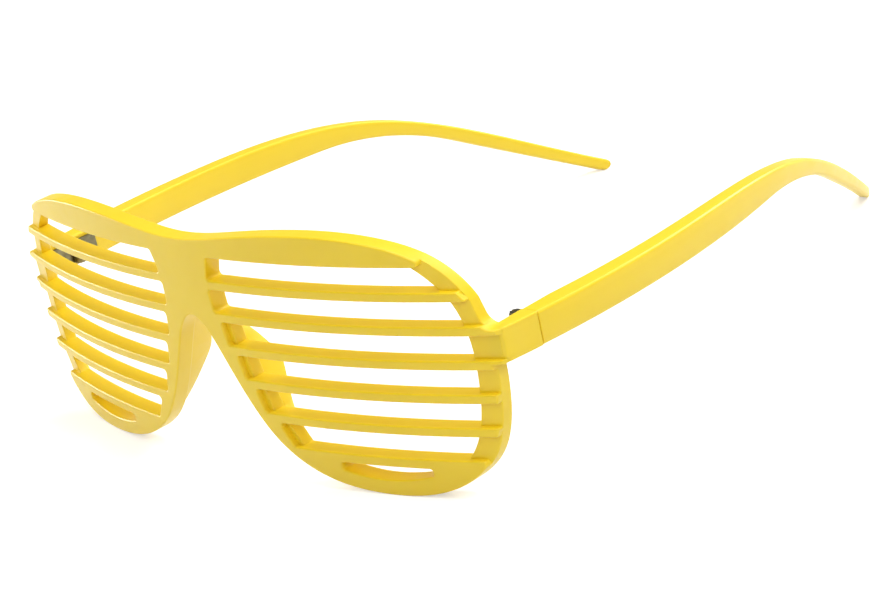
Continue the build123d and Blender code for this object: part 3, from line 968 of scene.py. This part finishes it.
def slat_place(tree, source):
    """Where a point of a straight bar goes on the bent plate."""
    position = add_node(tree, "GeometryNodeInputPosition").outputs[0]
    parts = add_node(tree, "ShaderNodeSeparateXYZ", {0: position})
    along, across, upward = (Number(socket) for socket in parts.outputs)
    size = {name: Number(socket) for name, socket in source.items()}
    own = {}
    for name in SLAT_NUMBERS:
        node = add_node(tree, "GeometryNodeInputNamedAttribute", {"Name": name}, data_type="FLOAT")
        own[name] = Number(node.outputs["Attribute"])
    start, end_round = own["start"], own["end_round"]
    plate_depth, radius = size["Plate depth"], size["Wrap radius"]

    # The stations run evenly along the slat, and the last few round the arc of its free end.
    steps = size["Stations"] - 1
    plain_steps = steps - ROUND_STEPS
    even = (along * steps / plain_steps).math("MINIMUM", 1)
    angle = (along * steps - plain_steps).math("MAXIMUM", 0) * (math.pi / 2 / ROUND_STEPS)

    # The free end slopes with the outline, so it reaches further at one edge than at the other.
    share = upward / size["Slat height"] + 0.5
    end = own["end_low"] + (own["end_high"] - own["end_low"]) * share
    reach = start + (end - end_round - start) * even + end_round * angle.math("SINE")

    # The round end draws the section in. On the rim a slat is only as deep as the recess.
    inset = end_round - end_round * angle.math("COSINE")
    height = own["height"] + upward - upward * inset / (size["Slat height"] / 2)
    on_rim = reach.math("GREATER_THAN", own["rim"])
    limit = plate_depth - (plate_depth - size["Rim depth"]) * on_rim
    depth = (across + plate_depth / 2).math("MAXIMUM", inset).math("MINIMUM", limit)
    bend = radius - (radius * radius - reach * reach).math("SQRT")
    back = bend + depth + size["Bridge distance"]
    moved = dict(enumerate((reach * own["side"] * mm, back * mm, height * mm)))
    return add_node(tree, "ShaderNodeCombineXYZ", moved).outputs[0]


# %% Slat tree
SLAT_STATIONS = 44


def slat_tree(values):
    """The node group of the slats, with an input for each value, and its inputs' identifiers."""
    tree = bpy.data.node_groups.new("slats", "GeometryNodeTree")
    kinds = {float: "Float", int: "Int", bpy.types.Material: "Material"}
    new_socket = tree.interface.new_socket
    new_socket(name="Geometry", in_out="INPUT", socket_type="NodeSocketGeometry")
    identifiers = {}
    for name, value in values.items():
        kind = "NodeSocket" + kinds[type(value)]
        socket = new_socket(name=name, in_out="INPUT", socket_type=kind)
        identifiers[name] = socket.identifier
    new_socket(name="Geometry", in_out="OUTPUT", socket_type="NodeSocketGeometry")
    outputs = add_node(tree, "NodeGroupInput").outputs
    source = {name: outputs[name] for name in ("Geometry", *values)}
    inputs = {"Geometry": slat_bars(tree, source), "Position": slat_place(tree, source)}
    moved = add_node(tree, "GeometryNodeSetPosition", inputs).outputs[0]
    inputs = {"Geometry": moved, "Distance": MERGE_DISTANCE}
    merged = add_node(tree, "GeometryNodeMergeByDistance", inputs).outputs[0]
    inputs = {"Geometry": merged, "Material": source["Material"]}
    painted = add_node(tree, "GeometryNodeSetMaterial", inputs).outputs[0]
    add_node(tree, "NodeGroupOutput", {"Geometry": painted})
    return tree, identifiers


print("numbers of each slat:", SLAT_NUMBERS)

# %% Slats
def line_x(line, height):
    """Place X where the outer part of a line crosses a height."""
    return next(x for x, z in with_heights(line, [height]) if z == height and x > HALF_WIDTH / 2)


def slat_points():
    """A mesh of one point per slat, with the slat's numbers as attributes."""
    rows = []
    for number in range(1, SLOT_COUNT):
        top, bottom = slot_bottom(number), slot_top(number + 1)
        start = stub_end(number) - SLAT_JOIN
        end = (line_x(outline, bottom), line_x(outline, top), FRONT_EDGE_ROUND)
        if number in ENDPIECE_SLATS:
            end = (ISLAND_X, ISLAND_X, 0)
        rim = max(line_x(opening, top), line_x(opening, bottom)) + RIM_JOIN
        height = (top + bottom) / 2 + LIFT
        for side in (1, -1):
            rows.append((start, *end, rim, height, side))
    mesh = bpy.data.meshes.new("slat_points")
    mesh.from_pydata([(0, 0, 0)] * len(rows), [], [])
    for name, column in zip(SLAT_NUMBERS, zip(*rows)):
        mesh.attributes.new(name, "FLOAT", "POINT").data.foreach_set("value", column)
    return mesh


holder = bpy.data.objects.new("slat_holder", slat_points())
bpy.context.scene.collection.objects.link(holder)
values = {
    "Slat height": SLAT_HEIGHT, "Plate depth": FRONT_DEPTH, "Rim depth": RECESS_DEPTH,
    "Edge round": SLOT_BACK_ROUND, "Wrap radius": WRAP_RADIUS, "Bridge distance": float(BRIDGE_Y),
    "Stations": SLAT_STATIONS, "Material": frame_plastic,
}
modifier = holder.modifiers.new("slats", "NODES")
modifier.node_group, identifiers = slat_tree(values)
for name, value in values.items():
    modifier[identifiers[name]] = value

graph = bpy.context.evaluated_depsgraph_get()
slat_work = bmesh.new()
slat_work.from_mesh(bpy.data.meshes.new_from_object(holder.evaluated_get(graph)))
holder.modifiers.clear()
bpy.data.objects.remove(holder)
bmesh.ops.recalc_face_normals(slat_work, faces=slat_work.faces)
print("slats:", len(slat_work.faces), "faces")

# %% [markdown]
# ## Pieces of the front
#
# Three meshes stand for the front moulding: the plate with its endpieces, the slats and the
# fins. All of them are smooth. On the plate and the slats, edges sharper than 35 degrees stay
# sharp, and the Weighted Normal modifier gives the large flat faces the say over the shading, so
# that the light runs along a round and not across the face beside it. A Bevel modifier rounds
# the sharp edges of the fins.

# %% Pieces of the front
SHARP_ANGLE = 35
BEVEL_SEGMENTS = 3
FIN_EDGE_ROUND = 0.35

bodies = behaviour["bodies"]
body_of = {node: body for body, members in bodies.items() for node in members}


def add_piece(work, name, material):
    """An object of a finished bmesh, with smooth faces and one material."""
    mesh = mesh_of(work, name)
    mesh.materials.append(material)
    mesh.shade_smooth()
    piece = bpy.data.objects.new(name, mesh)
    bpy.context.scene.collection.objects.link(piece)
    return piece


def round_edges(piece, width, clamp=False):
    """A Bevel modifier on every edge of a piece that is sharper than the sharp angle."""
    bevel = piece.modifiers.new("round_edges", "BEVEL")
    bevel.width = width
    bevel.segments = BEVEL_SEGMENTS
    bevel.limit_method = "ANGLE"
    bevel.angle_limit = math.radians(SHARP_ANGLE)
    bevel.use_clamp_overlap = clamp
    bevel.harden_normals = True


def even_shading(piece):
    piece.data.set_sharp_from_angle(angle=math.radians(SHARP_ANGLE))
    weighted = piece.modifiers.new("even_shading", "WEIGHTED_NORMAL")
    weighted.keep_sharp = True


plate = add_piece(front_work, "front_plate", frame_plastic)
even_shading(plate)
slats = add_piece(slat_work, "slats", frame_plastic)
even_shading(slats)
fins = add_piece(fin_work, "nose_fins", frame_plastic)
round_edges(fins, FIN_EDGE_ROUND * mm, clamp=True)

for piece in (plate, slats, fins):
    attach(piece, body_of["front_frame"])
    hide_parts("front_frame")
    print(piece.name, len(piece.data.polygons), "faces")

# %% [markdown]
# ## Temples, hinges and screws
#
# The solids of the temples and of the hinges have the right forms, but every edge of theirs is
# a knife edge. Each piece is a copy of its solid: doubled points are merged, the triangles of
# its flats are joined up, and a Bevel modifier rounds what is still sharp. The plastic gets
# rounds of a quarter of a millimetre and the metal much finer ones.

# %% Temples, hinges and screws
FLAT_ANGLE = math.radians(0.2)
FINISHES = {
    "temple": ("temple_plastic", temple_plastic, 0.25),
    "leaf": ("hinge_metal", leaf_metal, 0.08),
    "screw": ("screw_metal", screw_metal, 0.06),
}

for node_name in nodes:
    kind = node_name.split("_")[-1]
    if kind not in FINISHES:
        continue
    slot, material, edge_round = FINISHES[kind]
    work = merged_solid(node_name)
    bmesh.ops.dissolve_limit(work, angle_limit=FLAT_ANGLE, verts=work.verts, edges=work.edges)
    piece = add_piece(work, node_name + "_rounded", material)
    round_edges(piece, edge_round * mm)
    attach(piece, body_of[node_name])
    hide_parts(node_name)
    print(piece.name, len(piece.data.polygons), "faces before rounding")

# %% [markdown]
# ## Table
#
# The photograph was taken on a white table that is lit so well that only faint shadows show.
# Turning the lamps up until the table clips would bleach the glasses too. So the table is pale
# and matt and glows a little, but only for rays from the camera and for mirrored rays. The glow
# makes the table white in the picture and lights nothing.

# %% Table
TABLE_WIDTH = 6
TABLE_COLOUR = (0.7, 0.7, 0.69, 1)
TABLE_GLOW = 0.5

bpy.ops.mesh.primitive_plane_add(size=TABLE_WIDTH, location=(0, 0, 0))
table = bpy.context.object
table.name = "table"
white = bpy.data.materials.new("white_table")
tree = empty_tree(white)
ray = add_node(tree, "ShaderNodeLightPath")
seen = Number(ray.outputs["Is Camera Ray"]).math("MAXIMUM", ray.outputs["Is Glossy Ray"])
glow = add_node(tree, "ShaderNodeEmission", {"Strength": seen * TABLE_GLOW})
matt = add_node(tree, "ShaderNodeBsdfDiffuse", {"Color": TABLE_COLOUR})
both = add_node(tree, "ShaderNodeAddShader", {0: matt.outputs[0], 1: glow.outputs[0]})
add_node(tree, "ShaderNodeOutputMaterial", {"Surface": both.outputs[0]})
table.data.materials.append(white)
print("table:", table.dimensions.x, "m wide")

# %% [markdown]
# ## Room and lamps
#
# The room is white for the camera and near the horizon of mirrored rays, and dim for all other
# light, so the shading comes from five soft lamps. One hangs overhead and brightens the tops of
# the brow and the temples. The key lamp stands in front, to the right of the camera. A high one
# on the right lights the outer side. The one at the rear shines over the brow onto the tops of
# the slats. A low one on the left grazes the far lens, which the photograph shows paler than the
# near one.

# %% Room and lamps
ROOM_LEVEL = 0.2
HORIZON_FADE = 0.08

world = bpy.data.worlds.new("room")
bpy.context.scene.world = world
tree = empty_tree(world)
heading = add_node(tree, "ShaderNodeTexCoord").outputs["Generated"]
upward = add_node(tree, "ShaderNodeSeparateXYZ", {0: heading}).outputs["Z"]
inputs = {"Value": upward, "From Min": 0, "From Max": HORIZON_FADE, "To Min": 1, "To Max": 0}
fade = add_node(tree, "ShaderNodeMapRange", inputs, interpolation_type="SMOOTHSTEP")
ray = add_node(tree, "ShaderNodeLightPath")
mirrored = Number(ray.outputs["Is Glossy Ray"]) * fade.outputs["Result"]
seen = mirrored.math("MAXIMUM", ray.outputs["Is Camera Ray"])
inputs = {"Color": (1, 1, 1, 1), "Strength": seen * (1 - ROOM_LEVEL) + ROOM_LEVEL}
room = add_node(tree, "ShaderNodeBackground", inputs)
add_node(tree, "ShaderNodeOutputWorld", {"Surface": room.outputs[0]})


def soft_lamp(name, spot, size, watts):
    """A round area lamp that is aimed at the glasses."""
    light = bpy.data.lights.new(name, "AREA")
    light.shape = "DISK"
    light.size = size
    light.energy = watts
    lamp = bpy.data.objects.new(name, light)
    bpy.context.scene.collection.objects.link(lamp)
    lamp.location = spot
    lamp.rotation_euler = (-Vector(spot)).to_track_quat("-Z", "Y").to_euler()


soft_lamp("top_softbox", (0.0, 0.1, 1.1), size=0.9, watts=6)
soft_lamp("key_softbox", (0.45, -0.75, 0.85), size=0.6, watts=4.1)
soft_lamp("rear_softbox", (0.1, 1.1, 0.75), size=0.7, watts=9.5)
soft_lamp("right_softbox", (0.95, 0.1, 1.05), size=0.6, watts=6.2)
soft_lamp("left_softbox", (-1.0, -0.3, 0.16), size=0.3, watts=4.5)
bpy.context.scene.view_settings.view_transform = "Standard"
print("room and five lamps are in place")
